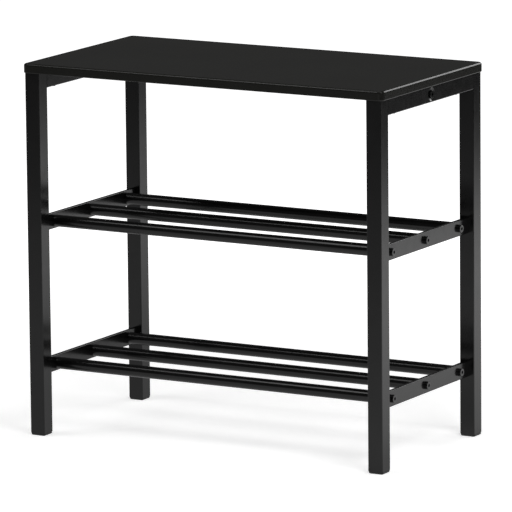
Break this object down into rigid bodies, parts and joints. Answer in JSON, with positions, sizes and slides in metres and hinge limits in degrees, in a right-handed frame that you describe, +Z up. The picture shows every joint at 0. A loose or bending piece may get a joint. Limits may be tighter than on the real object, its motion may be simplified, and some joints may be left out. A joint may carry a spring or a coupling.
{
  "type": "shoe rack",
  "caption": "Black metal shoe rack: square-tube legs, open shelves of round tubes and a flat seat board on top.",
  "frame": {"origin": "floor level, in the middle of the footprint", "axes": "+X to the right along the seat board, +Y to the back, +Z up"},
  "size_m": [0.506, 0.264, 0.47],
  "materials": {
    "frame_powder_coat": "semi-gloss black powder coat",
    "board_laminate": "matt black laminated board",
    "foot_plastic": "matt black moulded plastic",
    "zinc_steel": "bright zinc plating",
    "black_screw": "black oxide"
  },
  "bodies": {
    "root": {"seat_board": "board_laminate", "front_left_leg": "frame_powder_coat", "front_right_leg": "frame_powder_coat", "back_left_leg": "frame_powder_coat", "back_right_leg": "frame_powder_coat", "front_left_foot": "foot_plastic", "front_right_foot": "foot_plastic", "back_left_foot": "foot_plastic", "back_right_foot": "foot_plastic", "left_top_rail": "frame_powder_coat", "right_top_rail": "frame_powder_coat", "left_upper_shelf_rail": "frame_powder_coat", "right_upper_shelf_rail": "frame_powder_coat", "left_lower_shelf_rail": "frame_powder_coat", "right_lower_shelf_rail": "frame_powder_coat", "upper_front_tube": "frame_powder_coat", "upper_middle_tube": "frame_powder_coat", "upper_back_tube": "frame_powder_coat", "lower_front_tube": "frame_powder_coat", "lower_middle_tube": "frame_powder_coat", "lower_back_tube": "frame_powder_coat", "crossbar": "frame_powder_coat", "upper_tube_plugs": "zinc_steel", "lower_tube_plugs": "zinc_steel", "crossbar_plugs": "zinc_steel", "left_upper_screws": "black_screw", "right_upper_screws": "black_screw", "left_lower_screws": "black_screw", "right_lower_screws": "black_screw", "crossbar_screws": "black_screw", "board_screws": "black_screw"}
  },
  "joints": []
}
